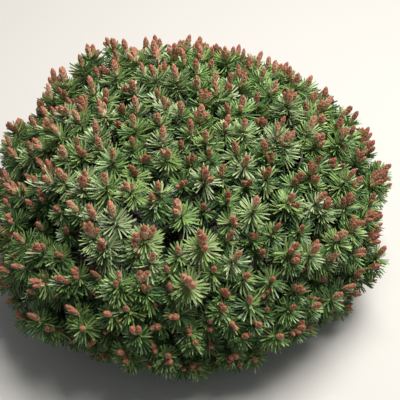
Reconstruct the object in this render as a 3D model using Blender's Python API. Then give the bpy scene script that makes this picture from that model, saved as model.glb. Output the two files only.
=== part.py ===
"""A dwarf mugo pine: a low, dense cushion of a shrub, rooted in level ground.

Metres, +Z up. The origin is the middle of the flat cut where the stem meets the ground.
A short stem forks into boughs, and each bough carries one mass of needles.
"""

import math
import random

import bmesh
import bpy
from mathutils import Quaternion, Vector

UP = Vector((0, 0, 1))

# The crown is a flattened globe about its own centre, and these are its sizes out to the shoot tips.
CROWN_CENTRE = Vector((0.012, -0.006, 0.096))
CROWN_SPREAD = 0.208
CROWN_RISE = 0.143
CROWN_DROP = 0.118
# Gentle swellings of the plan outline: waves round the crown, size as a share, and azimuth of a crest.
SPREAD_WAVES = (
    (2, 0.028, math.radians(4)),
    (3, 0.028, math.radians(-4)),
    (4, 0.018, math.radians(47)),
)

# The masses lie in rings: name, how many, elevation from the crown's centre, azimuth of the first.
MASS_RINGS = (
    ("top", 1, math.radians(90), 0.0),
    ("upper", 6, math.radians(39), math.radians(-90)),
    ("lower", 9, math.radians(-3), math.radians(-70)),
)
MASS_SWELL = 0.025
HALF_GAP = 0.0005
GROUND_CLEAR = 0.003

# Shoots stand in rows down the crown, this far apart.
SHOOT_SPACING = 0.0415
ROW_SHARE = 0.87
SHOOT_JITTER = 0.13
LOWEST_TIP = 0.020
# A shoot nearer than this to its mass's border is nudged towards the mass's middle until it isn't.
EDGE_KEEP = 0.0048
EDGE_NUDGE = 0.03
TIP_UNEVEN = 0.045
SHOOT_LIFT = 1.3
SHOOT_LEAN = math.radians(11)
# Three strong shoots stand proud on the front: azimuth and elevation from the crown's centre.
LEADERS = (
    (math.radians(-104), math.radians(41)),
    (math.radians(-85), math.radians(37)),
    (math.radians(-88), math.radians(27)),
)
LEADER_PROUD = 1.035

# One shoot, measured down from the tip of its bud.
BUD_BASE = 0.0105
WHORL_STEP = 0.0042
BUD_RADIUS = 0.0030
TWIG_RADIUS = 0.0021
NEEDLE_LENGTH = 0.0205
# The needles' angle from the shoot's own axis, from the lowest whorl to the highest.
NEEDLE_ANGLES = tuple(math.radians(a) for a in (88, 77, 66, 54))
NEEDLE_TURN = math.radians(12)
NEEDLE_UNEVEN = 0.15
SHORTEN_BY, SHORTEST_SHARE = 0.05, 0.35

# Depths inside a mass, as shares of the crown's reach.
BOUGH_END = 0.50
FORK_AT = 0.575
BRANCH_END = 0.76
ROOT_AT = 0.76
ROOT_PULL = 0.25
CORE_OUTER, CORE_OUTER_EDGE = 0.835, 0.82
CORE_INNER, CORE_INNER_EDGE = 0.66, 0.70
CORE_SIDES = 10
CORE_SHOULDER = 0.55
CORE_KEEP = 0.0015

# A mass's stem starts this gap beyond its bough's tip and forks into branches.
JOINT_GAP = 0.0003
STEM_SIDES = 5
STEM_STRAIGHT = 0.004
STEM_RADIUS = 0.0032
BRANCH_COUNT = 4
BRANCH_SPREAD = 0.55
BRANCH_SUNK = 0.001
BRANCH_RADIUS = 0.0023

# The trunk's height and radius at each ring, from the ground to its fork, and its lean.
TRUNK_RINGS = (
    (0.000, 0.0270),
    (0.004, 0.0225),
    (0.011, 0.0185),
    (0.024, 0.0162),
    (0.046, 0.0148),
    (0.074, 0.0112),
)
TRUNK_SIDES = 15
TRUNK_LEAN = Vector((0.10, -0.05, 1.0))
ROOT_LOBES, ROOT_LOBE_SIZE, ROOT_LOBE_TOP = 5, 0.16, 0.024

# Each ring's boughs: height where they leave the trunk (alternating), radius at foot and tip, first rise.
BOUGH_FEET = {"upper": (0.047, 0.052), "lower": (0.020, 0.033)}
BOUGH_RADII = {"top": (0.0088, 0.0042), "upper": (0.0050, 0.0034), "lower": (0.0045, 0.0032)}
BOUGH_RISE = {"upper": math.radians(38), "lower": math.radians(14)}
BOUGH_START_SHARE, BOUGH_END_SHARE = 0.45, 0.25
TOP_BOUGH_SUNK, TOP_BOUGH_BEND = 0.003, 0.015
BOUGH_SIDES = 6
BOUGH_STEPS = 5


def polar(azimuth, elevation):
    level = math.cos(elevation)
    return Vector((level * math.cos(azimuth), level * math.sin(azimuth), math.sin(elevation)))


def radii_towards(direction):
    """The crown's level and upright radii on the side that a direction points to."""
    azimuth = math.atan2(direction.y, direction.x)
    swell = sum(size * math.cos(waves * (azimuth - crest)) for waves, size, crest in SPREAD_WAVES)
    return CROWN_SPREAD * (1 + swell), CROWN_RISE if direction.z > 0 else CROWN_DROP


def reach(direction):
    """How far the crown's tips are from its centre, along a unit direction."""
    spread, height = radii_towards(direction)
    return 1 / math.hypot(math.hypot(direction.x, direction.y) / spread, direction.z / height)


def outward(direction):
    """The way the crown's surface faces where a direction meets it."""
    spread, height = radii_towards(direction)
    level = Vector((direction.x, direction.y, 0)) / spread**2
    return (level + UP * (direction.z / height**2)).normalized()


def at_depth(direction, share):
    return CROWN_CENTRE + direction * (reach(direction) * share)


class Mass:
    """One mass of foliage: its middle direction, and the shoots that stand in its space."""

    def __init__(self, ring, number, direction, swell):
        self.ring = ring
        self.label = ring if ring == "top" else f"{ring}_{number + 1}"
        self.number = number
        self.direction = direction
        self.swell = swell
        self.shoots = []


def make_masses():
    rng = random.Random(7)
    masses = []
    for ring, count, elevation, first in MASS_RINGS:
        for number in range(count):
            direction = polar(first + math.tau * number / count, elevation)
            masses.append(Mass(ring, number, direction, 1 + rng.uniform(-MASS_SWELL, MASS_SWELL)))
    return masses


def room(mass, masses, point):
    """How far inside a mass's own space a point is. Masses part at planes through the crown's centre."""
    from_centre = point - CROWN_CENTRE
    sides = [
        from_centre.dot((mass.direction - other.direction).normalized())
        for other in masses
        if other is not mass
    ]
    return min(min(sides) - HALF_GAP, point.z - GROUND_CLEAR)


def shoot_rows():
    """(elevation, how many shoots) for each row, in even steps down the crown's profile."""
    step = math.radians(0.25)
    elevation, walked, rows = math.pi / 2, 0.0, [(math.pi / 2, 1)]
    last = (0.0, CROWN_RISE)
    while True:
        elevation -= step
        height = CROWN_RISE if elevation > 0 else CROWN_DROP
        distance = 1 / math.hypot(math.cos(elevation) / CROWN_SPREAD, math.sin(elevation) / height)
        here = (distance * math.cos(elevation), distance * math.sin(elevation))
        walked += math.dist(last, here)
        last = here
        if here[1] + CROWN_CENTRE.z < LOWEST_TIP:
            return rows
        if walked >= SHOOT_SPACING * ROW_SHARE:
            walked = 0.0
            rows.append((elevation, round(math.tau * here[0] / SHOOT_SPACING)))


def shoot_directions(rng):
    """(directions, which of them are leaders): uneven rows, with each leader in place of the nearest."""
    directions, leaders = [], set()
    for elevation, count in shoot_rows():
        turn = rng.uniform(0, math.tau)
        for n in range(count):
            azimuth = turn + math.tau * (n + rng.uniform(-SHOOT_JITTER, SHOOT_JITTER)) / count
            rise = elevation + SHOOT_JITTER * rng.uniform(-1, 1) * SHOOT_SPACING / CROWN_RISE
            directions.append(polar(azimuth, rise))
    for azimuth, elevation in LEADERS:
        leader = polar(azimuth, elevation)
        nearest = max(range(len(directions)), key=lambda n: directions[n].dot(leader))
        directions[nearest] = leader
        leaders.add(nearest)
    return directions, leaders


def shoot_at(direction, share, lean, swing):
    """(bud tip, axis): a shoot faces out from the crown, turned up to the light and a little to one side."""
    axis = (outward(direction) + UP * SHOOT_LIFT).normalized()
    sideways = Quaternion(axis, swing) @ axis.orthogonal().normalized()
    return at_depth(direction, share), axis * math.cos(lean) + sideways * math.sin(lean)


def foot_of(tip, axis):
    """Where a shoot's lowest whorl of needles begins."""
    return tip - axis * (BUD_BASE + 2 * WHORL_STEP)


def plant_shoots(masses):
    """Gives each mass its shoots, as (bud tip, axis, root inside the mass)."""
    rng = random.Random(11)
    directions, leaders = shoot_directions(rng)
    for n, direction in enumerate(directions):
        share = LEADER_PROUD if n in leaders else 1 - rng.uniform(0, TIP_UNEVEN)
        lean = rng.uniform(0, SHOOT_LEAN)
        swing = rng.uniform(0, math.tau)
        tip, axis = shoot_at(direction, share, lean, swing)
        foot = foot_of(tip, axis)
        mass = max(masses, key=lambda one: one.direction.dot((tip + foot) / 2 - CROWN_CENTRE))
        while min(room(mass, masses, tip), room(mass, masses, foot)) < EDGE_KEEP:
            direction = (direction + mass.direction * EDGE_NUDGE).normalized()
            tip, axis = shoot_at(direction, share * mass.swell, lean, swing)
            foot = foot_of(tip, axis)
        if tip.z < LOWEST_TIP:
            continue
        inward = (foot - CROWN_CENTRE).normalized() + mass.direction * ROOT_PULL
        mass.shoots.append((tip, axis, at_depth(inward.normalized(), ROOT_AT)))


def border_angle(mass, masses, spin, share):
    """How far a mass's space runs from its middle, as an angle, on the side that spin gives."""
    hinge = Quaternion(mass.direction, spin) @ mass.direction.orthogonal().normalized()
    angle = 0.0
    while angle < math.pi / 2:
        angle += math.radians(0.5)
        direction = Quaternion(hinge, angle) @ mass.direction
        if room(mass, masses, at_depth(direction, share)) < CORE_KEEP:
            break
    return hinge, angle


def frames_along(points):
    """A rotation at each point of a path, whose Z follows the path and which doesn't twist."""
    runs = [(b - a).normalized() for a, b in zip(points, points[1:])]
    ways = [runs[0]] + [(a + b).normalized() for a, b in zip(runs, runs[1:])] + [runs[-1]]
    turned = [ways[0].to_track_quat("Z", "Y")]
    for before, after in zip(ways, ways[1:]):
        turned.append(before.rotation_difference(after) @ turned[-1])
    return turned


def ring_of(mesh, centre, turned, radius, sides, twist=0.0):
    spoke = Vector((radius, 0, 0))
    turns = [Quaternion((0, 0, 1), twist + math.tau * n / sides) for n in range(sides)]
    return [mesh.verts.new(centre + turned @ turn @ spoke) for turn in turns]


def join_rings(mesh, lower, upper):
    for n in range(len(lower)):
        after = (n + 1) % len(lower)
        mesh.faces.new((lower[n], lower[after], upper[after], upper[n]))


def join_twisted(mesh, lower, upper):
    """Triangles between two rings, the upper one turned by half a side. They go up and down by turns."""
    rising, falling = [], []
    for n in range(len(lower)):
        after = (n + 1) % len(lower)
        rising.append(mesh.faces.new((lower[n], lower[after], upper[n])))
        falling.append(mesh.faces.new((lower[after], upper[after], upper[n])))
    return rising, falling


def object_from(name, mesh, material):
    mesh.normal_update()
    data = bpy.data.meshes.new(name)
    mesh.to_mesh(data)
    mesh.free()
    data.materials.append(material)
    made = bpy.data.objects.new(name, data)
    bpy.context.scene.collection.objects.link(made)
    return made


def tube(name, points, radii, sides, material):
    """A closed tapering limb along a path."""
    mesh = bmesh.new()
    rings = [
        ring_of(mesh, point, turned, radius, sides)
        for point, turned, radius in zip(points, frames_along(points), radii)
    ]
    mesh.faces.new(reversed(rings[0]))
    for lower, upper in zip(rings, rings[1:]):
        join_rings(mesh, lower, upper)
    mesh.faces.new(rings[-1])
    return object_from(name, mesh, material)


def trunk_centre(height):
    return TRUNK_LEAN * height


def trunk_object(name, grown, material):
    """The trunk, or with grown above 0 the same shape that much thicker and longer, to cut with."""
    mesh = bmesh.new()
    rings = []
    for height, radius in TRUNK_RINGS:
        flare = ROOT_LOBE_SIZE * max(0.0, 1 - height / ROOT_LOBE_TOP)
        lift = grown if height == TRUNK_RINGS[-1][0] else 0.0
        ring = []
        for n in range(TRUNK_SIDES):
            azimuth = math.tau * n / TRUNK_SIDES
            bulge = radius * (1 + flare * math.cos(ROOT_LOBES * azimuth)) + grown
            ring.append(mesh.verts.new(trunk_centre(height) + UP * lift + polar(azimuth, 0) * bulge))
        rings.append(ring)
    mesh.faces.new(reversed(rings[0]))
    for lower, upper in zip(rings, rings[1:]):
        join_rings(mesh, lower, upper)
    mesh.faces.new(rings[-1])
    return object_from(name, mesh, material)


def bezier(points, t):
    """The point at t on the curve of four control points."""
    a, b, c, d = points
    s = 1 - t
    return a * s**3 + b * (3 * s * s * t) + c * (3 * s * t * t) + d * t**3


def bough_path(mass):
    """From inside the trunk out to the foot of the mass, rising as it goes."""
    end = at_depth(mass.direction, BOUGH_END)
    if mass.ring == "top":
        start = trunk_centre(TRUNK_RINGS[-1][0] - TOP_BOUGH_SUNK)
        controls = (start, start + UP * TOP_BOUGH_BEND, end - UP * TOP_BOUGH_BEND, end)
    else:
        level = Vector((mass.direction.x, mass.direction.y, 0)).normalized()
        start = trunk_centre(BOUGH_FEET[mass.ring][mass.number % 2])
        rise = BOUGH_RISE[mass.ring]
        span = (end - start).length
        leaving = (level * math.cos(rise) + UP * math.sin(rise)) * (span * BOUGH_START_SHARE)
        controls = (start, start + leaving, end - mass.direction * (span * BOUGH_END_SHARE), end)
    return [bezier(controls, n / BOUGH_STEPS) for n in range(BOUGH_STEPS + 1)]


def make_bough(mass, cutter, material):
    points = bough_path(mass)
    foot, tip = BOUGH_RADII[mass.ring]
    radii = [foot + (tip - foot) * n / BOUGH_STEPS for n in range(BOUGH_STEPS + 1)]
    bough = tube(f"bough_{mass.label}", points, radii, BOUGH_SIDES, material)
    cut = bough.modifiers.new("saddle", "BOOLEAN")
    cut.operation = "DIFFERENCE"
    cut.object = cutter


def grow_needles(mesh, faces, middle, axis, angle, fits, rng):
    """Draws each face out to a needle. One that would leave the mass's space is shortened or skipped."""
    for face in faces:
        base = face.calc_center_median()
        spoke = base - middle
        around = (spoke - axis * spoke.dot(axis)).normalized()
        around = Quaternion(axis, rng.uniform(-NEEDLE_TURN, NEEDLE_TURN)) @ around
        along = (around * math.sin(angle) + axis * math.cos(angle)) * NEEDLE_LENGTH
        share = 1 - rng.uniform(0, NEEDLE_UNEVEN)
        while share > SHORTEST_SHARE and not fits(base + along * share):
            share -= SHORTEN_BY
        if share > SHORTEST_SHARE:
            poked = bmesh.ops.poke(mesh, faces=[face])
            poked["verts"][0].co = base + along * share


def shoot_object(shoot, fits, rng, material):
    """A shoot in one piece: twig, two steps of needle whorls, and the bud at the tip."""
    tip, axis, root = shoot
    mesh = bmesh.new()
    turned = axis.to_track_quat("Z", "Y")
    foot = foot_of(tip, axis)
    into = (foot - root).normalized()
    root_ring = ring_of(mesh, root, axis.rotation_difference(into) @ turned, TWIG_RADIUS, 3)
    centres = [foot + axis * (WHORL_STEP * n) for n in range(3)]
    rings = [
        ring_of(mesh, centre, turned, radius, 3, n * math.pi / 3)
        for n, (centre, radius) in enumerate(zip(centres, (TWIG_RADIUS, TWIG_RADIUS, BUD_RADIUS)))
    ]
    mesh.faces.new(reversed(root_ring))
    join_rings(mesh, root_ring, rings[0])
    whorls = []
    for n in range(2):
        rising, falling = join_twisted(mesh, rings[n], rings[n + 1])
        middle = (centres[n] + centres[n + 1]) / 2
        whorls.append((rising, middle))
        whorls.append((falling, middle))
    top = mesh.verts.new(tip)
    for n in range(3):
        mesh.faces.new((rings[2][n], rings[2][(n + 1) % 3], top))
    for (faces, middle), angle in zip(whorls, NEEDLE_ANGLES):
        grow_needles(mesh, faces, middle, axis, angle, fits, rng)
    return object_from("shoot", mesh, material)


def core_object(mass, masses, material):
    """The dense inside of a mass: a shell that follows the crown and stops short of the mass's borders."""
    mesh = bmesh.new()
    outer_middle = mesh.verts.new(at_depth(mass.direction, CORE_OUTER))
    inner_middle = mesh.verts.new(at_depth(mass.direction, CORE_INNER))
    outer, inner, outer_rim, inner_rim = [], [], [], []
    for n in range(CORE_SIDES):
        hinge, edge = border_angle(mass, masses, math.tau * n / CORE_SIDES, CORE_OUTER_EDGE)
        shoulder = Quaternion(hinge, edge * CORE_SHOULDER) @ mass.direction
        full = Quaternion(hinge, edge) @ mass.direction
        outer.append(mesh.verts.new(at_depth(shoulder, CORE_OUTER)))
        inner.append(mesh.verts.new(at_depth(shoulder, CORE_INNER)))
        outer_rim.append(mesh.verts.new(at_depth(full, CORE_OUTER_EDGE)))
        inner_rim.append(mesh.verts.new(at_depth(full, CORE_INNER_EDGE)))
    for lower, upper in ((outer_rim, outer), (inner_rim, outer_rim), (inner, inner_rim)):
        join_rings(mesh, lower, upper)
    for n in range(CORE_SIDES):
        after = (n + 1) % CORE_SIDES
        mesh.faces.new((outer[n], outer[after], outer_middle))
        mesh.faces.new((inner[after], inner[n], inner_middle))
    bmesh.ops.recalc_face_normals(mesh, faces=mesh.faces)
    return object_from(f"foliage_{mass.label}", mesh, material)


def branch_ends(mass, masses):
    """Where the branches that fork from the mass's stem end, spread round inside its core."""
    ends = []
    for n in range(BRANCH_COUNT):
        spin = math.tau * (n + 0.5 * (mass.number % 2)) / BRANCH_COUNT
        hinge, edge = border_angle(mass, masses, spin, BRANCH_END)
        ends.append(at_depth(Quaternion(hinge, edge * BRANCH_SPREAD) @ mass.direction, BRANCH_END))
    return ends


def stem_objects(mass, masses, material):
    """The mass's stem, from a gap beyond the bough's tip, and the branches that it forks into."""
    last, end = bough_path(mass)[-2:]
    onward = (end - last).normalized()
    start = end + onward * JOINT_GAP
    fork = at_depth(mass.direction, FORK_AT)
    points = [start, start + onward * STEM_STRAIGHT, fork, at_depth(mass.direction, BRANCH_END)]
    _, bough_tip = BOUGH_RADII[mass.ring]
    radii = [bough_tip, bough_tip, STEM_RADIUS, BRANCH_RADIUS]
    limbs = [tube("stem", points, radii, STEM_SIDES, material)]
    for branch_end in branch_ends(mass, masses):
        sunk = fork - (branch_end - fork).normalized() * BRANCH_SUNK
        limbs.append(tube("branch", [sunk, branch_end], [BRANCH_RADIUS, TWIG_RADIUS], 3, material))
    return limbs


def make_foliage(mass, masses, material):
    """Joins the core, the forking stem and every shoot of a mass into one solid."""
    rng = random.Random(100 + sum(map(ord, mass.label)))
    parts = stem_objects(mass, masses, material)
    for shoot in mass.shoots:
        parts.append(shoot_object(shoot, lambda point: room(mass, masses, point) > 0, rng, material))
    fuse(core_object(mass, masses, material), parts)


def fuse(whole, parts):
    """One Boolean union of an object with the others, applied, after which only it is left."""
    gathered = bpy.data.collections.new("parts_to_fuse")
    bpy.context.scene.collection.children.link(gathered)
    for part in parts:
        bpy.context.scene.collection.objects.unlink(part)
        gathered.objects.link(part)
    union = whole.modifiers.new("fuse", "BOOLEAN")
    union.operation = "UNION"
    union.operand_type = "COLLECTION"
    union.collection = gathered
    union.solver = "MANIFOLD"
    bpy.context.view_layer.update()
    graph = bpy.context.evaluated_depsgraph_get()
    joined = bpy.data.meshes.new_from_object(whole.evaluated_get(graph))
    joined.name = whole.name
    whole.modifiers.clear()
    whole.data = joined
    for part in parts:
        bpy.data.objects.remove(part)
    bpy.data.collections.remove(gathered)


def make_material(name, colour, roughness):
    material = bpy.data.materials.new(name)
    material.use_nodes = True
    surface = material.node_tree.nodes["Principled BSDF"]
    surface.inputs["Base Color"].default_value = (*colour, 1)
    surface.inputs["Roughness"].default_value = roughness
    surface.inputs["Metallic"].default_value = 0.0
    material.diffuse_color = (*colour, 1)
    return material


def main():
    for obj in list(bpy.data.objects):
        bpy.data.objects.remove(obj)
    bark = make_material("bark", (0.16, 0.11, 0.08), 0.9)
    bough_bark = make_material("bough_bark", (0.21, 0.14, 0.10), 0.88)
    needles = make_material("needles", (0.08, 0.20, 0.05), 0.55)

    trunk = trunk_object("trunk", 0.0, bark)
    trunk.data.shade_smooth()
    trunk.data.set_sharp_from_angle(angle=math.radians(50))
    cutter = trunk_object("trunk_cutter", JOINT_GAP, bark)
    cutter.hide_render = True
    cutter.display_type = "WIRE"

    masses = make_masses()
    plant_shoots(masses)
    for mass in masses:
        make_bough(mass, cutter, bough_bark)
        make_foliage(mass, masses, needles)


main()
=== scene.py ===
import math
import random

import bpy
import numpy as np
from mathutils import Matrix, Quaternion, Vector, noise


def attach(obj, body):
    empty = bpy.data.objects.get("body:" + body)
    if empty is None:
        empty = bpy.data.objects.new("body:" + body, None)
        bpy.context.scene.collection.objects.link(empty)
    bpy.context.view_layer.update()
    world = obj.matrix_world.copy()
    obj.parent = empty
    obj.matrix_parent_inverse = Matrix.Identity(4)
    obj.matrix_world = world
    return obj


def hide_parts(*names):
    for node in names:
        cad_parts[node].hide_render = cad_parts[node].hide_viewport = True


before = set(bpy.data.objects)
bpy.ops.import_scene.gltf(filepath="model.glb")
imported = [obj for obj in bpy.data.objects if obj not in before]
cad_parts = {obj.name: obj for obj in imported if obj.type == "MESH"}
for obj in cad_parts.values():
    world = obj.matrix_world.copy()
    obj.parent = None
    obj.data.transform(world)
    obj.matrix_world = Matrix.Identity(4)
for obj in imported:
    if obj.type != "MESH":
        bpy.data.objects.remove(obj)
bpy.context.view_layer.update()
up = Vector((0, 0, 1))
print("frame loaded:", len(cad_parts), "solids")


# The crown's rule, the same as the model's: a flattened globe whose surface the bud tips reach.
crown = {
    "centre": Vector((0.012, -0.006, 0.096)),
    "spread": 0.208,
    "rise": 0.143,
    "drop": 0.118,
    # waves round the plan outline: how many, size as a share, azimuth of a crest
    "waves": (
        (2, 0.028, math.radians(4)),
        (3, 0.028, math.radians(-4)),
        (4, 0.018, math.radians(47)),
    ),
    # rings of foliage masses: name, how many, elevation, azimuth of the first
    "rings": (
        ("top", 1, math.radians(90), 0.0),
        ("upper", 6, math.radians(39), math.radians(-90)),
        ("lower", 9, math.radians(-3), math.radians(-70)),
    ),
    "seed": 7,
    "swell": 0.025,  # each mass is larger or smaller by up to this share
    # where boughs end, stems fork and branches end, as shares of the reach
    "boughEnd": 0.50,
    "forkAt": 0.575,
    "branchEnd": 0.74,
}


def polar(azimuth, elevation):
    level = math.cos(elevation)
    return Vector((level * math.cos(azimuth), level * math.sin(azimuth), math.sin(elevation)))


def radiiTowards(direction):
    azimuth = math.atan2(direction.y, direction.x)
    swell = sum(size * math.cos(waves * (azimuth - crest)) for waves, size, crest in crown["waves"])
    return crown["spread"] * (1 + swell), crown["rise"] if direction.z > 0 else crown["drop"]


def reach(direction):
    spread, height = radiiTowards(direction)
    return 1 / math.hypot(math.hypot(direction.x, direction.y) / spread, direction.z / height)


def outward(direction):
    spread, height = radiiTowards(direction)
    level = Vector((direction.x, direction.y, 0)) / spread**2
    return (level + up * (direction.z / height**2)).normalized()


def atDepth(direction, share):
    return crown["centre"] + direction * (reach(direction) * share)


def makeMasses():
    rng = random.Random(crown["seed"])
    masses = []
    for ring, count, elevation, first in crown["rings"]:
        for number in range(count):
            masses.append(
                {
                    "ring": ring,
                    "number": number,
                    "label": ring if ring == "top" else f"{ring}_{number + 1}",
                    "direction": polar(first + math.tau * number / count, elevation),
                    "swell": 1 + rng.uniform(-crown["swell"], crown["swell"]),
                    "shoots": [],
                }
            )
    return masses


# The shoots stand in rows as in the model, closer together, so each mass carries finer twigs.
shoots = {
    "seed": 23,
    "spacing": 0.0247,
    "rowShare": 0.87,
    "rowStep": math.radians(0.25),  # how finely the rows are measured out
    "jitter": 0.26,
    "lowestTip": 0.016,
    "lowestNeck": 0.008,  # no bud's foot is nearer to the ground
    "sunk": 0.145,  # how deep the deepest tips lie, as a share; most lie near the surface
    "sunkPower": 2.1,
    # the deepest shoots and their buds are smaller by these shares
    "deepShrink": 0.20,
    "deepBudShrink": 0.25,
    "hummocks": 0.030,  # groups of shoots stand a little proud or low
    "hummockSize": 0.050,
    # groups that the photo shows proud or low: azimuth, elevation, share of the reach, width
    "groups": (
        (math.radians(117), math.radians(20), 0.065, math.radians(16)),
        (math.radians(150), math.radians(13), -0.060, math.radians(11)),
        (math.radians(90), math.radians(22), -0.035, math.radians(8)),
        (math.radians(8), math.radians(3), 0.045, math.radians(8)),
        (math.radians(-8), math.radians(-2), -0.045, math.radians(8)),
        (math.radians(-28), math.radians(-7), 0.030, math.radians(14)),
        (math.radians(-90), math.radians(-15), -0.030, math.radians(10)),
        (math.radians(-122), math.radians(-17), -0.075, math.radians(14)),
    ),
    # older side shoots without buds fill the dark inside
    "innerSpacing": 0.033,
    "innerShares": (0.68, 0.86),
    # towards the ground the shoots are smaller and closer together, by this share in all
    "crowding": 0.24,
    "crowdFrom": math.radians(15),
    "crowdTo": math.radians(-20),
    # painted shade: the colours get darker with depth, and by this much down the sides, where the plant lies
    # in shade
    "lowShade": 0.50,
    "shadeFrom": math.radians(36),
    "shadeTo": math.radians(14),
    "lift": 1.3,  # how far they turn up to the light
    "lean": math.radians(17),
    "leaderLean": 0.3,  # the share of that lean that a leader takes
    "leaders": (
        (math.radians(-104), math.radians(41)),
        (math.radians(-82), math.radians(39)),
        (math.radians(-88), math.radians(28)),
    ),
    "leaderRoom": 0.62,  # shoots nearer to a leader than this share of the spacing give way
    "leaderProud": 1.045,
    # the shoots round a leader stand lower: share of the reach, and how far round it, also as a share
    "leaderHollow": 0.040,
    "hollowSize": 0.17,
    "sizes": (0.86, 1.04),
    "budSizes": (0.87, 1.11),
    "leaderBud": 1.32,
    "straight": 0.020,  # length of straight stem below the bud
}


# from 0 at the elevation where something starts to 1 where it is complete
def wayDown(elevation, start, end):
    return min(1.0, max(0.0, (start - elevation) / (start - end)))


def crowding(elevation):
    return 1 - shoots["crowding"] * wayDown(elevation, shoots["crowdFrom"], shoots["crowdTo"])


def shootRows(spacing):
    elevation, walked, rows = math.pi / 2, 0.0, [(math.pi / 2, 1)]
    last = (0.0, crown["rise"])
    while True:
        elevation -= shoots["rowStep"]
        height = crown["rise"] if elevation > 0 else crown["drop"]
        distance = 1 / math.hypot(math.cos(elevation) / crown["spread"], math.sin(elevation) / height)
        here = (distance * math.cos(elevation), distance * math.sin(elevation))
        walked += math.dist(last, here)
        last = here
        if here[1] + crown["centre"].z < shoots["lowestTip"]:
            return rows
        apart = spacing * crowding(elevation)
        if walked >= apart * shoots["rowShare"]:
            walked = 0.0
            rows.append((elevation, round(math.tau * here[0] / apart)))


def shootDirections(rng, spacing):
    directions = []
    jitter = shoots["jitter"]
    for elevation, count in shootRows(spacing):
        turn = rng.uniform(0, math.tau)
        for n in range(count):
            azimuth = turn + math.tau * (n + rng.uniform(-jitter, jitter)) / count
            rise = elevation + jitter * rng.uniform(-1, 1) * spacing / crown["rise"]
            directions.append(polar(azimuth, rise))
    return directions


def plantShoot(masses, rng, direction, kind, share, shade, size, budSize):
    mass = max(masses, key=lambda one: one["direction"].dot(direction))
    axis = (outward(direction) + up * shoots["lift"]).normalized()
    sideways = Quaternion(axis, rng.uniform(0, math.tau)) @ axis.orthogonal().normalized()
    lean = rng.uniform(0, shoots["lean"]) * (shoots["leaderLean"] if kind == "leader" else 1.0)
    tip = atDepth(direction, share * (1.0 if kind == "leader" else mass["swell"]))
    axis = axis * math.cos(lean) + sideways * math.sin(lean)
    neck = tip - axis * (buds["length"] * budSize)
    if tip.z < shoots["lowestTip"] or neck.z < shoots["lowestNeck"]:
        return
    shoot = {"tip": tip, "axis": axis, "shade": shade, "size": size, "budSize": budSize, "kind": kind}
    mass["shoots"].append(shoot)


# how far a direction's shoots stand proud of the crown or below it
def hummock(direction):
    swell = noise.noise(direction * (reach(direction) / shoots["hummockSize"])) * shoots["hummocks"]
    for azimuth, elevation, size, width in shoots["groups"]:
        swell += size * math.exp(-((direction.angle(polar(azimuth, elevation)) / width) ** 2))
    return swell


def plantShoots(masses):
    rng = random.Random(shoots["seed"])
    leaders = [polar(*leader) for leader in shoots["leaders"]]
    for direction in leaders:
        plantShoot(masses, rng, direction, "leader", shoots["leaderProud"], 0.0, 1.0, shoots["leaderBud"])
    for direction in shootDirections(rng, shoots["spacing"]):
        room = shoots["spacing"] * shoots["leaderRoom"] / reach(direction)
        away = min((direction - leader).length for leader in leaders)
        if away < room:
            continue
        depth = rng.random() ** shoots["sunkPower"]
        hollow = shoots["leaderHollow"] * math.exp(-((away / shoots["hollowSize"]) ** 2))
        share = 1 + hummock(direction) - hollow - shoots["sunk"] * depth
        elevation = math.asin(max(-1.0, min(1.0, direction.z)))
        small = crowding(elevation)
        size = rng.uniform(*shoots["sizes"]) * (1 - shoots["deepShrink"] * depth) * small
        budSize = rng.uniform(*shoots["budSizes"]) * (1 - shoots["deepBudShrink"] * depth) * small
        # painted shade: deeper and lower shoots take darker needle and bud colours
        shade = depth + shoots["lowShade"] * wayDown(elevation, shoots["shadeFrom"], shoots["shadeTo"])
        plantShoot(masses, rng, direction, "outer", share, shade, size, budSize)
    for direction in shootDirections(rng, shoots["innerSpacing"]):
        share = rng.uniform(*shoots["innerShares"])
        plantShoot(masses, rng, direction, "inner", share, 1.0, 1.0, 0.0)
    for kind in ("leader", "outer", "inner"):
        print(kind, "shoots:", sum(shoot["kind"] == kind for mass in masses for shoot in mass["shoots"]))


# Twigs: each mass's stem forks into branches, and a curved twig runs from a branch to each shoot.
twigs = {
    "seed": 31,
    "sides": 4,
    "branches": 6,
    "branchSpread": 0.56,
    "borderStep": math.radians(1),
    "lowestEnd": 0.012,  # no branch ends nearer to the ground
    "stemStart": 0.96,  # the stem starts inside its bough, at this share of the bough's reach
    "stemRadius": 0.0036,
    "branchRadius": 0.0026,
    "forkSwell": 1.15,
    "bow": -0.004,  # how far outward the middle of a branch is moved; below zero is inward
    "bowRadius": 0.0023,
    "twigRadius": 0.0016,
    "twigTaper": 0.1,
    "tipRadius": 0.0014,
    "neckShare": 0.95,  # a twig ends a little inside its bud
    # a twig runs on along its branch and up to its shoot, by these shares of the way between them
    "leaving": 0.35,
    "arriving": 0.4,
    "steps": 5,
    "lowest": 0.005,
    "roughness": 0.85,
    "colours": ((0.075, 0.060, 0.050), (0.120, 0.085, 0.060)),
}


def bezier(points, t):
    a, b, c, d = points
    s = 1 - t
    return a * s**3 + b * (3 * s * s * t) + c * (3 * s * t * t) + d * t**3


def borderAngle(mass, masses, hinge):
    angle = 0.0
    while angle < math.pi / 2:
        angle += twigs["borderStep"]
        direction = Quaternion(hinge, angle) @ mass["direction"]
        if max(masses, key=lambda one: one["direction"].dot(direction)) is not mass:
            break
        if atDepth(direction, crown["branchEnd"]).z < twigs["lowestEnd"]:
            break
    return angle


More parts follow.
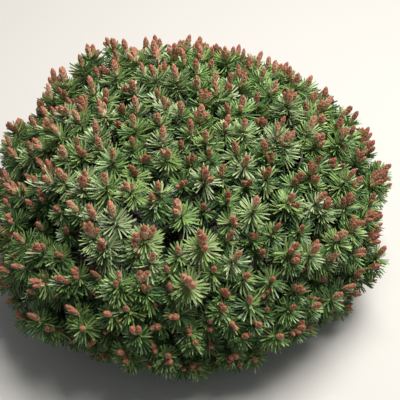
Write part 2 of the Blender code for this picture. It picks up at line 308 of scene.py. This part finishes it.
def growLimbs(mass, masses):
    fork = atDepth(mass["direction"], crown["forkAt"])
    start = atDepth(mass["direction"], crown["boughEnd"] * twigs["stemStart"])
    radii = [twigs["stemRadius"], twigs["branchRadius"] * twigs["forkSwell"]]
    mass["limbs"] = [([start, fork], radii)]
    ends, middles = [], []
    for n in range(twigs["branches"] + 1):
        spin = math.tau * n / twigs["branches"] + mass["number"]
        hinge = Quaternion(mass["direction"], spin) @ mass["direction"].orthogonal().normalized()
        spread = borderAngle(mass, masses, hinge) * twigs["branchSpread"] if n else 0.0
        direction = Quaternion(hinge, spread) @ mass["direction"]
        end = atDepth(direction, crown["branchEnd"])
        bowed = (fork + end) / 2 + outward(direction) * twigs["bow"]
        radii = [twigs["branchRadius"], twigs["bowRadius"], twigs["twigRadius"]]
        mass["limbs"].append(([fork, bowed, end], radii))
        ends.append(end)
        middles.append(bowed)
    steps = twigs["steps"]
    for shoot in mass["shoots"]:
        neck = shoot["tip"] - shoot["axis"] * (buds["length"] * shoot["budSize"] * twigs["neckShare"])
        low = neck - shoot["axis"] * shoots["straight"]
        near = min(middles if shoot["kind"] == "inner" else ends, key=lambda end: (end - low).length)
        span = (low - near).length
        onward = (near - fork).normalized() * span * twigs["leaving"]
        controls = (near, near + onward, low - shoot["axis"] * span * twigs["arriving"], low)
        path = [bezier(controls, n / steps) for n in range(steps + 1)] + [neck]
        for point in path:
            point.z = max(point.z, twigs["lowest"])
        shoot["path"] = path[::-1]
        radii = [twigs["twigRadius"] * (1 - twigs["twigTaper"] * n / steps) for n in range(steps + 1)]
        mass["limbs"].append((path, radii + [twigs["tipRadius"]]))


def tubeArrays(points, radii, sides):
    runs = [(b - a).normalized() for a, b in zip(points, points[1:])]
    ways = [runs[0]] + [(a + b).normalized() for a, b in zip(runs, runs[1:])] + [runs[-1]]
    side = ways[0].orthogonal().normalized()
    corners = []
    for n, (point, way, radius) in enumerate(zip(points, ways, radii)):
        if n:
            side = ways[n - 1].rotation_difference(way) @ side
        for k in range(sides):
            corners.append(point + (Quaternion(way, math.tau * k / sides) @ side) * radius)
    faces = []
    for n in range(len(points) - 1):
        for k in range(sides):
            a, b = n * sides + k, n * sides + (k + 1) % sides
            faces += [(a, b, b + sides), (a, b + sides, a + sides)]
    last = (len(points) - 1) * sides
    for k in range(1, sides - 1):
        faces += [(0, k + 1, k), (last, last + k, last + k + 1)]
    return np.array([list(corner) for corner in corners]), np.array(faces)


def plainMaterial(name, colour, roughness, shine=0.5):
    material = bpy.data.materials.new(name)
    material.use_nodes = True
    surface = material.node_tree.nodes["Principled BSDF"]
    surface.inputs["Base Color"].default_value = (*colour, 1)
    surface.inputs["Roughness"].default_value = roughness
    surface.inputs["Specular IOR Level"].default_value = shine
    return material


def meshPiece(name, points, triangles, slots, materials, smooth=False):
    data = bpy.data.meshes.new(name)
    data.vertices.add(len(points))
    data.vertices.foreach_set("co", np.asarray(points, np.float32).ravel())
    data.loops.add(len(triangles) * 3)
    data.loops.foreach_set("vertex_index", np.asarray(triangles, np.int32).ravel())
    data.polygons.add(len(triangles))
    data.polygons.foreach_set("loop_start", np.arange(0, len(triangles) * 3, 3, dtype=np.int32))
    data.polygons.foreach_set("material_index", np.asarray(slots, np.int32))
    data.polygons.foreach_set("use_smooth", np.full(len(triangles), smooth))
    for material in materials:
        data.materials.append(material)
    data.update(calc_edges=True)
    data.validate()
    piece = bpy.data.objects.new(name, data)
    bpy.context.scene.collection.objects.link(piece)
    print(name, len(triangles), "triangles")
    return piece


def newParts():
    return {"points": [], "triangles": [], "slots": [], "count": 0}


def addPart(parts, points, triangles, slots):
    parts["points"].append(points)
    parts["triangles"].append(triangles + parts["count"])
    parts["slots"].append(slots)
    parts["count"] += len(points)


def joined(name, parts, materials, smooth=False):
    points, triangles, slots = (np.concatenate(parts[kind]) for kind in ("points", "triangles", "slots"))
    return meshPiece(name, points, triangles, slots, materials, smooth)


def twigPiece(name, masses):
    rng = random.Random(twigs["seed"])
    materials = []
    for n, colour in enumerate(twigs["colours"]):
        materials.append(plainMaterial(f"twigBark{n + 1}", colour, twigs["roughness"]))
    parts = newParts()
    for mass in masses:
        for path, radii in mass["limbs"]:
            points, triangles = tubeArrays(path, radii, twigs["sides"])
            addPart(parts, points, triangles, np.full(len(triangles), rng.randrange(len(materials))))
    return joined(name, parts, materials, smooth=True)


# Needles: two from each sheath, in spirals down the stem, steep near the bud and level below it.
needles = {
    "length": 0.0198,
    "thickness": 0.00129,
    "cornerShare": 0.55,  # how far its corners stand from a needle's middle, as a share of the thickness
    "footShare": 0.8,  # a young needle is narrower at its foot
    "youngPairs": 39,
    "leaderPairs": 60,
    "youngStretch": 0.018,  # the stretch of stem under the bud that this year's needles take
    "youngAngles": (math.radians(33), math.radians(88)),
    "oldPairs": 21,
    "oldStretch": 0.044,
    "oldAngles": (math.radians(70), math.radians(105)),
    "opening": 0.6,  # the power by which the angle widens down the stretch
    "spiral": math.radians(137.5),
    "unevenAngle": math.radians(10),
    "unevenTurn": 0.25,
    "pairAngle": math.radians(8),
    "unevenPair": 0.05,
    # the lengths of pairs, and of the two needles in a pair, as shares
    "pairLengths": (0.84, 1.06),
    "needleLengths": (0.94, 1.04),
    # young needles start at this share of their length under the bud, and soon reach all of it
    "firstLength": 0.52,
    "lengthening": 3.5,
    "oldShrink": 0.25,  # the lowest old needles are shorter by this share
    "bend": math.radians(10),
    "shoulderAt": 0.88,
    # the share of a spray's needles that take its second, darker colour, in the light and in the shade
    "secondShares": (0.30, 0.80),
    "deadBelow": 0.060,
    "deadShares": (0.36, 0.01),  # of the sprays below that height, and of the others
    # roughness and strength of the shine
    "youngGloss": (0.42, 0.5),
    "oldGloss": (0.80, 0.1),
    "lowest": 0.0015,  # needles that would reach the ground are left out
    # the pale greens come first, the palest last among them, and the dark ones after them. The two palest are
    # painted light, kept for shoots in the light, and the palest is partly a painted highlight; the dark ones
    # are partly painted shade, as shaded sprays take more of them
    "paleCount": 4,
    "shadeCount": 2,  # the shoots in the shade take only these first greens
    "shadeFrom": 0.4,
    # the leaders stand in the light and take a pale green and the palest: painted light
    "leaderColours": (1, 3),
    "youngColours": (
        (0.180, 0.300, 0.082),
        (0.220, 0.325, 0.100),
        (0.255, 0.350, 0.135),
        (0.310, 0.385, 0.195),
        (0.070, 0.138, 0.040),
        (0.088, 0.160, 0.052),
        (0.056, 0.120, 0.040),
    ),
    # old needles are darker, and these greens are darker still as painted shade in the gaps under the young
    # needles
    "oldAndShadeColours": ((0.028, 0.062, 0.020), (0.040, 0.076, 0.030)),
    "deadColour": (0.260, 0.120, 0.050),
}
# a young needle has three points at its foot, three at its shoulder and one at its tip; an old one is plainer
youngFaces = np.array(
    [[2, 1, 0]]
    + [[k, (k + 1) % 3, 3 + (k + 1) % 3] for k in range(3)]
    + [[k, 3 + (k + 1) % 3, 3 + k] for k in range(3)]
    + [[3 + k, 3 + (k + 1) % 3, 6] for k in range(3)]
)
oldFaces = np.array([[2, 1, 0], [0, 1, 3], [1, 2, 3], [2, 0, 3]])


def unit(vectors):
    return vectors / np.linalg.norm(vectors, axis=-1, keepdims=True)


def placesDown(path, depths):
    points = np.array([list(point) for point in path])
    steps = np.linalg.norm(np.diff(points, axis=0), axis=1)
    walked = np.concatenate([[0], np.cumsum(steps)])
    ways = -np.gradient(points, walked, axis=0)
    places = np.stack([np.interp(depths, walked, points[:, k]) for k in range(3)], axis=1)
    facing = np.stack([np.interp(depths, walked, ways[:, k]) for k in range(3)], axis=1)
    return places, unit(facing)


def sprayOfNeedles(shoot, rng, young):
    pairs = needles["oldPairs"]
    if young:
        pairs = needles["leaderPairs" if shoot["kind"] == "leader" else "youngPairs"]
    steep, wide = needles["youngAngles" if young else "oldAngles"]
    spread = (np.arange(pairs) + 0.5) / pairs
    if young:
        depth = needles["youngStretch"] * spread
    else:
        depth = (0 if shoot["kind"] == "inner" else needles["youngStretch"]) + needles["oldStretch"] * spread
    angle = steep + (wide - steep) * spread ** needles["opening"]
    angle = angle + rng.normal(0, needles["unevenAngle"], pairs)
    turn = np.arange(pairs) * needles["spiral"] + rng.normal(0, needles["unevenTurn"], pairs)
    turn = turn + rng.uniform(0, math.tau)
    length = needles["length"] * shoot["size"] * rng.uniform(*needles["pairLengths"], pairs)
    if young:
        first = needles["firstLength"]
        length *= first + (1 - first) * np.minimum(1, spread * needles["lengthening"])
    else:
        length *= 1 - needles["oldShrink"] * spread
    # each sheath holds two needles, a little apart
    turn = np.repeat(turn, 2)
    turn[0::2] -= needles["pairAngle"]
    turn[1::2] += needles["pairAngle"]
    angle = np.repeat(angle, 2) + rng.normal(0, needles["unevenPair"], 2 * pairs)
    length = np.repeat(length, 2) * rng.uniform(*needles["needleLengths"], 2 * pairs)
    foot, axis = placesDown(shoot["path"], np.repeat(depth, 2))
    side = unit(np.cross(axis, np.array(shoot["axis"].orthogonal())))
    other = np.cross(axis, side)
    around = np.cos(turn)[:, None] * side + np.sin(turn)[:, None] * other
    along = np.sin(angle)[:, None] * around + np.cos(angle)[:, None] * axis
    across = unit(np.cross(along, axis) + 1e-9)
    above = np.cross(across, along)
    half = needles["thickness"] * needles["cornerShare"]
    corners = [math.radians(30 + 120 * k) for k in range(3)]
    offsets = [(across * math.cos(corner) + above * math.sin(corner)) * half for corner in corners]
    if not young:
        points = [foot + offset for offset in offsets] + [foot + along * length[:, None]]
        return np.stack(points, axis=1)
    bent = angle - needles["bend"]
    onward = np.sin(bent)[:, None] * around + np.cos(bent)[:, None] * axis
    shoulder = foot + along * (length * needles["shoulderAt"])[:, None]
    end = shoulder + onward * (length * (1 - needles["shoulderAt"]))[:, None]
    feet = [foot + offset * needles["footShare"] for offset in offsets]
    points = feet + [shoulder + offset for offset in offsets] + [end]
    return np.stack(points, axis=1)


def addNeedles(parts, points, faces, slots):
    clear = points[:, :, 2].min(axis=1) > needles["lowest"]
    points, slots = points[clear], slots[clear]
    first = points.shape[1] * np.arange(len(points))
    triangles = (faces[None] + first[:, None, None]).reshape(-1, 3)
    addPart(parts, points.reshape(-1, 3), triangles, np.repeat(slots, len(faces)))


def needlePiece(name, masses, materials):
    rng = np.random.default_rng(sum(map(ord, name)))
    youngCount, oldAndShadeCount = len(needles["youngColours"]), len(needles["oldAndShadeColours"])
    parts = newParts()
    for mass in masses:
        for shoot in mass["shoots"]:
            # painted light and shade: sprays in the light may take all the pale greens, shaded ones only the
            # first two and more of the dark second green
            shaded = shoot["shade"] > needles["shadeFrom"]
            first = rng.integers(needles["shadeCount" if shaded else "paleCount"])
            second = rng.integers(needles["paleCount"], youngCount)
            if shoot["kind"] == "leader":
                first, second = needles["leaderColours"]
            if shoot["kind"] != "inner":
                young = sprayOfNeedles(shoot, rng, True)
                mixed = rng.random(len(young)) < np.interp(shoot["shade"], (0, 1), needles["secondShares"])
                addNeedles(parts, young, youngFaces, np.where(mixed, second, first))
            # old needles take a dark green that is partly painted shade
            old = youngCount + rng.integers(oldAndShadeCount)
            low = shoot["tip"].z < needles["deadBelow"]
            if rng.random() < needles["deadShares"][0 if low else 1]:
                old = youngCount + oldAndShadeCount
            slots = np.full(2 * needles["oldPairs"], old)
            addNeedles(parts, sprayOfNeedles(shoot, rng, False), oldFaces, slots)
    return joined(name, parts, materials)


# Buds: a strong one at the tip and up to two beside it, blunt, with rows of scales on a pale papery neck.
buds = {
    "length": 0.0208,
    "radius": 0.0031,
    "sides": 8,
    # rows up the bud: height and radius as shares, how far the scales' tips reach, and the colours above
    "rows": (
        (0.00, 0.46, 0.00, "budScales"),
        (0.17, 0.78, 0.05, "budScales"),
        (0.18, 0.70, 0.05, "budScales"),
        (0.37, 0.95, -0.05, "budScales"),
        (0.38, 0.86, -0.05, "budSides"),
        (0.57, 1.05, 0.05, "budSides"),
        (0.58, 0.92, 0.05, "budSides"),
        (0.75, 0.95, -0.04, "budSides"),
        (0.76, 0.84, -0.04, "budTips"),
        (0.91, 0.52, 0.00, "budTips"),
    ),
    "axisRoom": 0.1,  # corners nearer to the bud's axis are no scale's tip
    "howMany": (1, 1, 1, 2, 2, 2, 3, 3),
    "leaderMany": 3,
    "lengths": (0.88, 1.06),
    "widths": (0.92, 1.08),
    "unevenTurn": 0.4,
    "sideLean": (math.radians(8), math.radians(21)),
    "sideLength": (0.60, 0.90),
    # how far out and up a side bud starts, in radii of the main one
    "sideOut": 0.75,
    "sideUp": 0.2,
    # a side bud's radius as a share: this much, and this much more for a full length
    "sideRadius": (0.5, 0.45),
    "roughness": 0.6,
    "shadeFrom": 0.32,
    # the bright colours come first: buds in the light take those, shaded ones the dark
    "lightColours": (0, 1, 2),
    "shadeColours": (1, 2, 3),
    "colours": {
        "budTips": (
            (0.430, 0.190, 0.120),
            (0.350, 0.110, 0.066),
            (0.270, 0.088, 0.050),
            (0.170, 0.062, 0.034),
        ),
        "budSides": (
            (0.540, 0.360, 0.220),
            (0.400, 0.215, 0.120),
            (0.290, 0.130, 0.070),
            (0.190, 0.088, 0.044),
        ),
        "budScales": (
            (0.740, 0.610, 0.460),
            (0.600, 0.420, 0.250),
            (0.450, 0.280, 0.155),
            (0.280, 0.160, 0.085),
        ),
    },
}


# one bud of radius and height one, as arrays: points, triangles, their kinds, and every second scale
def modelBud():
    sides, rows = buds["sides"], buds["rows"]
    bpy.ops.object.select_all(action="DESELECT")
    bpy.ops.mesh.primitive_circle_add(vertices=sides, radius=rows[0][1], fill_type="NGON")
    bud = bpy.context.object
    bpy.ops.object.mode_set(mode="EDIT")
    for (low, narrow, *_), (high, wide, *_) in zip(rows, rows[1:]):
        bpy.ops.mesh.extrude_region_move(TRANSFORM_OT_translate={"value": (0, 0, high - low)})
        scale = wide / narrow
        bpy.ops.transform.resize(value=(scale, scale, 1), center_override=(0, 0, high))
    top, last, *_ = rows[-1]
    bpy.ops.mesh.extrude_region_move(TRANSFORM_OT_translate={"value": (0, 0, 1 - top)})
    bpy.ops.mesh.merge(type="CENTER")
    bpy.ops.mesh.select_all(action="SELECT")
    bpy.ops.mesh.normals_make_consistent(inside=False)
    bpy.ops.object.mode_set(mode="OBJECT")
    data = bud.data
    # every second corner of a row is a scale's tip
    for vertex in data.vertices:
        row = min(range(len(rows)), key=lambda n: abs(rows[n][0] - vertex.co.z))
        corner = round(math.atan2(vertex.co.y, vertex.co.x) / math.tau * sides)
        if vertex.co.xy.length > buds["axisRoom"]:
            vertex.co.z += rows[row][2] * (-1) ** corner
    data.calc_loop_triangles()
    points = np.array([list(vertex.co) for vertex in data.vertices])
    triangles = np.array([list(one.vertices) for one in data.loop_triangles])
    kinds, second = [], []
    for one in data.loop_triangles:
        face = data.polygons[one.polygon_index]
        row = max(n for n in range(len(rows)) if n == 0 or rows[n][0] < face.center.z)
        sector = math.floor(math.atan2(face.center.y, face.center.x) / math.tau * sides)
        kinds.append(rows[row][3])
        second.append((row + sector) % 2 == 1)
    bpy.data.objects.remove(bud)
    return points, triangles, kinds, np.array(second)


def budPlaces(shoot, rng):
    size, axis = shoot["budSize"], shoot["axis"]
    length = buds["length"] * size * rng.uniform(*buds["lengths"])
    radius = buds["radius"] * size
    base = shoot["tip"] - axis * length
    places = [(base, axis, length, radius * rng.uniform(*buds["widths"]))]
    count = buds["leaderMany"] if shoot["kind"] == "leader" else rng.choice(buds["howMany"])
    turn = rng.uniform(0, math.tau)
    uneven = buds["unevenTurn"]
    least, more = buds["sideRadius"]
    for _ in range(count - 1):
        turn += math.tau / max(2, count - 1) + rng.uniform(-uneven, uneven)
        side = Quaternion(axis, turn) @ axis.orthogonal().normalized()
        lean = rng.uniform(*buds["sideLean"])
        way = (axis * math.cos(lean) + side * math.sin(lean)).normalized()
        small = rng.uniform(*buds["sideLength"])
        start = base + side * (radius * buds["sideOut"]) + axis * (radius * buds["sideUp"])
        places.append((start, way, length * small, radius * (least + more * small)))
    return places


def budPiece(name, masses, bud, materials, firstSlot):
    rng = random.Random(sum(map(ord, name)))
    template, triangles, kinds, second = bud
    parts = newParts()
    for mass in masses:
        for shoot in mass["shoots"]:
            if shoot["kind"] == "inner":
                continue
            shades = buds["shadeColours" if shoot["shade"] > buds["shadeFrom"] else "lightColours"]
            dealt = {kind: rng.sample(shades, 2) for kind in buds["colours"]}
            slots = [firstSlot[kind] + dealt[kind][int(other)] for kind, other in zip(kinds, second)]
            for base, way, length, radius in budPlaces(shoot, rng):
                turned = Quaternion(way, rng.uniform(0, math.tau))
                side = np.array(turned @ way.orthogonal().normalized())
                other = np.cross(np.array(way), side)
                x, y, z = (template[:, k : k + 1] for k in range(3))
                points = np.array(base) + x * radius * side + y * radius * other + z * length * np.array(way)
                addPart(parts, points, triangles, np.array(slots))
    return joined(name, parts, materials)


# The trunk and boughs are one mesh: a drawn-up trunk with roots swelling its foot, and curved limbs.
limbs = {
    # the trunk's height and radius at each ring, and its lean
    "rings": (
        (-0.004, 0.0285),
        (0.000, 0.0270),
        (0.004, 0.0225),
        (0.011, 0.0185),
        (0.024, 0.0162),
        (0.046, 0.0148),
        (0.074, 0.0112),
    ),
    "sides": 30,
    "lean": Vector((0.10, -0.05, 1.0)),
    "rootLobes": 5,
    "lobeSize": 0.22,
    "lobeTop": 0.024,
    "lobeWidth": math.radians(20),
    "ringRoom": 0.0005,  # a corner this near to a ring's height belongs to it
    # the boughs' feet (by turns), radius at foot and tip, and first rise
    "feet": {"upper": (0.047, 0.052), "lower": (0.020, 0.033)},
    "radii": {"top": (0.0088, 0.0042), "upper": (0.0050, 0.0034), "lower": (0.0045, 0.0032)},
    "rise": {"upper": math.radians(38), "lower": math.radians(14)},
    # how far a bough keeps its first and last direction, as shares of its span
    "startShare": 0.45,
    "endShare": 0.25,
    # the top bough starts inside the trunk and keeps its directions this far
    "topSunk": 0.003,
    "topBend": 0.015,
    "bevelSteps": 4,
    "curveSteps": 14,
    "voxel": 0.0016,
    "easeShare": 0.6,
    "easeRounds": 4,
    # the size of the bark's plates, their relief, and the height in it that stays in place
    "plates": 0.0056,
    "relief": 0.0021,
    "midLevel": 0.6,
}


def modelTrunk():
    rings, lean = limbs["rings"], limbs["lean"]
    bpy.ops.object.select_all(action="DESELECT")
    height, radius = rings[0]
    bpy.ops.mesh.primitive_circle_add(
        vertices=limbs["sides"], radius=radius, fill_type="NGON", location=lean * height
    )
    trunk = bpy.context.object
    bpy.ops.object.mode_set(mode="EDIT")
    for (low, narrow), (high, wide) in zip(rings, rings[1:]):
        bpy.ops.mesh.extrude_region_move(TRANSFORM_OT_translate={"value": lean * (high - low)})
        scale = wide / narrow
        bpy.ops.transform.resize(value=(scale, scale, 1), center_override=lean * high)
    bpy.ops.mesh.select_all(action="SELECT")
    bpy.ops.mesh.normals_make_consistent(inside=False)
    # the roots swell the foot: each lobe's corners are drawn out from the middle
    for height, _ in rings:
        flare = limbs["lobeSize"] * max(0.0, 1 - height / limbs["lobeTop"])
        for lobe in range(limbs["rootLobes"]):
            bpy.ops.mesh.select_all(action="DESELECT")
            bpy.ops.object.mode_set(mode="OBJECT")
            for vertex in trunk.data.vertices:
                place = trunk.matrix_world @ vertex.co
                spoke = place - lean * height
                middle = math.tau * lobe / limbs["rootLobes"]
                away = math.remainder(math.atan2(spoke.y, spoke.x) - middle, math.tau)
                vertex.select = abs(place.z - height) < limbs["ringRoom"] and abs(away) < limbs["lobeWidth"]
            bpy.ops.object.mode_set(mode="EDIT")
            bpy.ops.mesh.select_mode(type="VERT")
            bpy.ops.transform.resize(value=(1 + flare, 1 + flare, 1), center_override=lean * height)
    bpy.ops.object.mode_set(mode="OBJECT")
    return trunk


def modelBough(mass):
    ring, direction = mass["ring"], mass["direction"]
    end = atDepth(direction, crown["boughEnd"])
    if ring == "top":
        start = limbs["lean"] * (limbs["rings"][-1][0] - limbs["topSunk"])
        leaving = start + up * limbs["topBend"]
        arriving = end - up * limbs["topBend"]
    else:
        level = Vector((direction.x, direction.y, 0)).normalized()
        start = limbs["lean"] * limbs["feet"][ring][mass["number"] % 2]
        rise, span = limbs["rise"][ring], (end - start).length
        leaving = start + (level * math.cos(rise) + up * math.sin(rise)) * (span * limbs["startShare"])
        arriving = end - direction * (span * limbs["endShare"])
    bpy.ops.object.select_all(action="DESELECT")
    bpy.ops.curve.primitive_bezier_curve_add(location=(0, 0, 0))
    bough = bpy.context.object
    curve = bough.data
    first, last = curve.splines[0].bezier_points
    for point, place, before, after, radius in (
        (first, start, start * 2 - leaving, leaving, limbs["radii"][ring][0]),
        (last, end, arriving, end * 2 - arriving, limbs["radii"][ring][1]),
    ):
        point.handle_left_type = point.handle_right_type = "FREE"
        point.co, point.handle_left, point.handle_right = place, before, after
        point.radius = radius
    curve.bevel_depth = 1.0
    curve.bevel_resolution = limbs["bevelSteps"]
    curve.resolution_u = limbs["curveSteps"]
    curve.use_fill_caps = True
    bpy.ops.object.convert(target="MESH")
    return bpy.context.object


def applyModifiers(piece):
    bpy.ops.object.select_all(action="DESELECT")
    piece.select_set(True)
    bpy.context.view_layer.objects.active = piece
    for modifier in list(piece.modifiers):
        bpy.ops.object.modifier_apply(modifier=modifier.name)


bark = {
    "roughness": 0.9,
    # plates and grain in a metre
    "plateScale": 190,
    "grainScale": 420,
    "grainDetail": 6,
    "cracks": -0.8,  # what the distance from a plate's middle takes off the grain
    "dark": (0.050, 0.036, 0.028),
    "pale": (0.230, 0.165, 0.120),
    "ramp": (0.02, 0.48),
    "bumpDistance": 0.0008,
    "bumpStrength": 0.7,
}


def barkMaterial():
    material = bpy.data.materials.new("bark")
    material.use_nodes = True
    nodes, links = material.node_tree.nodes, material.node_tree.links
    surface = nodes["Principled BSDF"]
    surface.inputs["Roughness"].default_value = bark["roughness"]
    place = nodes.new("ShaderNodeTexCoord")
    plates = nodes.new("ShaderNodeTexVoronoi")
    plates.inputs["Scale"].default_value = bark["plateScale"]
    grain = nodes.new("ShaderNodeTexNoise")
    grain.inputs["Scale"].default_value = bark["grainScale"]
    grain.inputs["Detail"].default_value = bark["grainDetail"]
    tint = nodes.new("ShaderNodeValToRGB")
    tint.color_ramp.elements[0].color = (*bark["dark"], 1)
    tint.color_ramp.elements[1].color = (*bark["pale"], 1)
    tint.color_ramp.elements[0].position = bark["ramp"][0]
    tint.color_ramp.elements[1].position = bark["ramp"][1]
    # the cracks between the plates are low and dark
    mixed = nodes.new("ShaderNodeMath")
    mixed.operation = "MULTIPLY_ADD"
    mixed.inputs[1].default_value = bark["cracks"]
    bump = nodes.new("ShaderNodeBump")
    bump.inputs["Distance"].default_value = bark["bumpDistance"]
    bump.inputs["Strength"].default_value = bark["bumpStrength"]
    links.new(place.outputs["Object"], plates.inputs["Vector"])
    links.new(place.outputs["Object"], grain.inputs["Vector"])
    links.new(plates.outputs["Distance"], mixed.inputs[0])
    links.new(grain.outputs["Fac"], mixed.inputs[2])
    links.new(mixed.outputs["Value"], tint.inputs["Fac"])
    links.new(tint.outputs["Color"], surface.inputs["Base Color"])
    links.new(mixed.outputs["Value"], bump.inputs["Height"])
    links.new(bump.outputs["Normal"], surface.inputs["Normal"])
    return material


def trunkPiece(name, masses):
    trunk = modelTrunk()
    boughs = [modelBough(mass) for mass in masses]
    bpy.ops.object.select_all(action="DESELECT")
    for one in [*boughs, trunk]:
        one.select_set(True)
    bpy.context.view_layer.objects.active = trunk
    bpy.ops.object.join()
    bpy.ops.object.transform_apply(location=True, rotation=True, scale=True)
    trunk.name = name
    weld = trunk.modifiers.new("weldLimbs", "REMESH")
    weld.mode = "VOXEL"
    weld.voxel_size = limbs["voxel"]
    ease = trunk.modifiers.new("easeJoints", "SMOOTH")
    ease.factor = limbs["easeShare"]
    ease.iterations = limbs["easeRounds"]
    plates = bpy.data.textures.new("barkPlates", "VORONOI")
    plates.noise_scale = limbs["plates"]
    # high in the middle of a plate, low in the cracks between plates
    plates.weight_1, plates.weight_2 = -1.0, 1.0
    relief = trunk.modifiers.new("barkRelief", "DISPLACE")
    relief.texture = plates
    relief.texture_coords = "LOCAL"
    relief.strength = limbs["relief"]
    relief.mid_level = limbs["midLevel"]
    applyModifiers(trunk)
    # the flat cut at the ground
    bpy.ops.object.mode_set(mode="EDIT")
    bpy.ops.mesh.select_all(action="SELECT")
    bpy.ops.mesh.bisect(
        plane_co=(0, 0, 0), plane_no=(0, 0, 1), use_fill=True, clear_inner=True, threshold=1e-7
    )
    bpy.ops.object.mode_set(mode="OBJECT")
    trunk.data.materials.clear()
    trunk.data.materials.append(barkMaterial())
    bpy.ops.object.shade_smooth()
    print(name, len(trunk.data.polygons), "faces")
    return trunk


# Camera and light: the photo looks down on the plant at about fifty degrees, under a bright cloudy sky.
view = {
    "elevation": math.radians(50),
    "distance": 1.05,
    "target": Vector((0.028, 0, 0.0845)),
    "lens": 90,
    "sensor": 36,
}


def makeCamera():
    back = Vector((0, -math.cos(view["elevation"]), math.sin(view["elevation"])))
    data = bpy.data.cameras.new("camera")
    data.lens = view["lens"]
    data.sensor_width = view["sensor"]
    camera = bpy.data.objects.new("camera", data)
    camera.location = view["target"] + back * view["distance"]
    camera.rotation_mode = "QUATERNION"
    camera.rotation_quaternion = (-back).to_track_quat("-Z", "Y")
    bpy.context.scene.collection.objects.link(camera)
    bpy.context.scene.camera = camera


light = {
    "sky": (0.92, 0.96, 1.0),
    "skyStrength": 0.25,
    # name, place, size, watts, colour
    "areas": (("overhead", (0.40, 0.16, 1.46), 0.8, 44, (1.0, 0.97, 0.92)),),
    "floor": (0.50, 0.49, 0.47),
    "floorSize": 6,
    "floorRoughness": 0.9,
}


def makeLight():
    world = bpy.data.worlds.new("sky")
    world.use_nodes = True
    background = world.node_tree.nodes["Background"]
    background.inputs["Color"].default_value = (*light["sky"], 1)
    background.inputs["Strength"].default_value = light["skyStrength"]
    bpy.context.scene.world = world
    for name, place, size, watts, colour in light["areas"]:
        data = bpy.data.lights.new(name, "AREA")
        data.size = size
        data.energy = watts
        data.color = colour
        lamp = bpy.data.objects.new(name, data)
        lamp.location = place
        lamp.rotation_mode = "QUATERNION"
        lamp.rotation_quaternion = (crown["centre"] - Vector(place)).to_track_quat("-Z", "Y")
        bpy.context.scene.collection.objects.link(lamp)


def makeFloor():
    bpy.ops.object.select_all(action="DESELECT")
    bpy.ops.mesh.primitive_plane_add(size=light["floorSize"], location=(0, 0, 0))
    floor = bpy.context.object
    floor.name = "floor"
    floor.data.materials.append(plainMaterial("floorPaint", light["floor"], light["floorRoughness"]))


bpy.context.scene.view_settings.view_transform = "Standard"
makeCamera()
makeLight()
makeFloor()

masses = makeMasses()
plantShoots(masses)
for mass in masses:
    growLimbs(mass, masses)
foliage = [f"foliage_{mass['label']}" for mass in masses]

trunk = trunkPiece("trunkAndBoughs", masses)
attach(trunk, "root")
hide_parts("trunk", *[f"bough_{mass['label']}" for mass in masses])

twigsPiece = twigPiece("twigs", masses)
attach(twigsPiece, "root")
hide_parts(*foliage)

greens = [*needles["youngColours"], *needles["oldAndShadeColours"], needles["deadColour"]]
needleMaterials = []
for n, colour in enumerate(greens):
    gloss = needles["youngGloss"] if n < len(needles["youngColours"]) else needles["oldGloss"]
    needleMaterials.append(plainMaterial(f"needleGreen{n + 1}", colour, *gloss))
needleGroups = {
    "needlesTop": ("top", "upper_1", "upper_2"),
    "needlesUpper": ("upper_3", "upper_4", "upper_5", "upper_6"),
    "needlesRight": ("lower_1", "lower_2", "lower_3"),
    "needlesBack": ("lower_4", "lower_5", "lower_6"),
    "needlesLeft": ("lower_7", "lower_8", "lower_9"),
}
for name, labels in needleGroups.items():
    piece = needlePiece(name, [mass for mass in masses if mass["label"] in labels], needleMaterials)
    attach(piece, "root")
    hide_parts(*[f"foliage_{label}" for label in labels])

budMaterials, firstSlot = [], {}
for kind, colours in buds["colours"].items():
    firstSlot[kind] = len(budMaterials)
    for n, colour in enumerate(colours):
        budMaterials.append(plainMaterial(f"{kind}{n + 1}", colour, buds["roughness"]))
bud = modelBud()
for name, rings in {"budsUpper": ("top", "upper"), "budsLower": ("lower",)}.items():
    chosen = [mass for mass in masses if mass["ring"] in rings]
    piece = budPiece(name, chosen, bud, budMaterials, firstSlot)
    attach(piece, "root")
    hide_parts(*[f"foliage_{mass['label']}" for mass in chosen])
